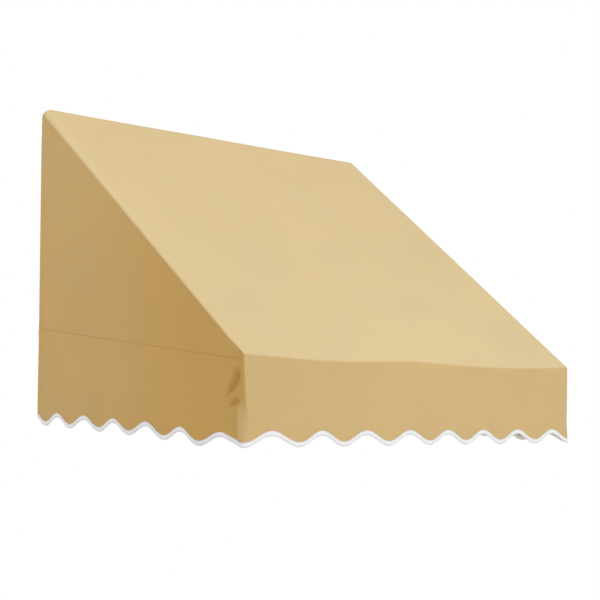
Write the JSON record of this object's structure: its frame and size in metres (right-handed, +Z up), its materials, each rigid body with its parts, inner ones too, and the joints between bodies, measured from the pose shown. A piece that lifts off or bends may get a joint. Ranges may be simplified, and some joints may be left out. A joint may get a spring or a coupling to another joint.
{
  "type": "fabric window awning",
  "caption": "Fixed wedge-shaped window awning: cloth top, closed sides and scalloped valance with white braid, on a slip-fitted galvanised tube frame with wall brackets.",
  "frame": {"origin": "on the wall face of the centre head bracket's plate, level with the head bar's axis", "axes": "+X along the wall to the right as seen from outside, -Y out from the wall, +Z up"},
  "size_m": [1.2222, 0.9588, 0.9718],
  "materials": {
    "canopy_cloth": "tan woven awning canvas, matt",
    "braid": "white woven binding tape",
    "tube_steel": "galvanised tube, faint spangle",
    "fitting_metal": "galvanised malleable casting",
    "screw_steel": "zinc-plated screw"
  },
  "bodies": {
    "root": {"centre_head_bracket": "fitting_metal", "centre_rafter": "tube_steel", "front_bar": "tube_steel", "front_tee": "fitting_metal", "front_tee_rafter_screw": "screw_steel", "head_bar": "tube_steel", "head_hem_screw_1": "screw_steel", "head_hem_screw_2": "screw_steel", "head_hem_screw_3": "screw_steel", "head_hem_screw_4": "screw_steel", "head_tee": "fitting_metal", "head_tee_rafter_screw": "screw_steel", "left_arm": "tube_steel", "left_arm_pocket": "canopy_cloth", "left_front_corner": "fitting_metal", "left_front_corner_arm_screw": "screw_steel", "left_front_corner_bar_screw": "screw_steel", "left_front_corner_rafter_screw": "screw_steel", "left_front_pocket": "canopy_cloth", "left_head_bracket": "fitting_metal", "left_head_corner": "fitting_metal", "left_head_corner_bar_screw": "screw_steel", "left_head_corner_rafter_screw": "screw_steel", "left_head_corner_upright_screw": "screw_steel", "left_hem_screw_1": "screw_steel", "left_hem_screw_2": "screw_steel", "left_hem_screw_3": "screw_steel", "left_lower_bracket": "fitting_metal", "left_rafter": "tube_steel", "left_side_valance": "canopy_cloth", "left_upright": "tube_steel", "left_wall_corner": "fitting_metal", "left_wall_corner_arm_screw": "screw_steel", "left_wall_corner_upright_screw": "screw_steel", "left_wing": "canopy_cloth", "right_arm": "tube_steel", "right_arm_pocket": "canopy_cloth", "right_front_corner": "fitting_metal", "right_front_corner_arm_screw": "screw_steel", "right_front_corner_bar_screw": "screw_steel", "right_front_corner_rafter_screw": "screw_steel", "right_front_pocket": "canopy_cloth", "right_head_bracket": "fitting_metal", "right_head_corner": "fitting_metal", "right_head_corner_bar_screw": "screw_steel", "right_head_corner_rafter_screw": "screw_steel", "right_head_corner_upright_screw": "screw_steel", "right_hem_screw_1": "screw_steel", "right_hem_screw_2": "screw_steel", "right_hem_screw_3": "screw_steel", "right_lower_bracket": "fitting_metal", "right_rafter": "tube_steel", "right_side_valance": "canopy_cloth", "right_upright": "tube_steel", "right_wall_corner": "fitting_metal", "right_wall_corner_arm_screw": "screw_steel", "right_wall_corner_upright_screw": "screw_steel", "right_wing": "canopy_cloth", "scallop_braid": "braid", "top_panel": "canopy_cloth"}
  },
  "joints": []
}
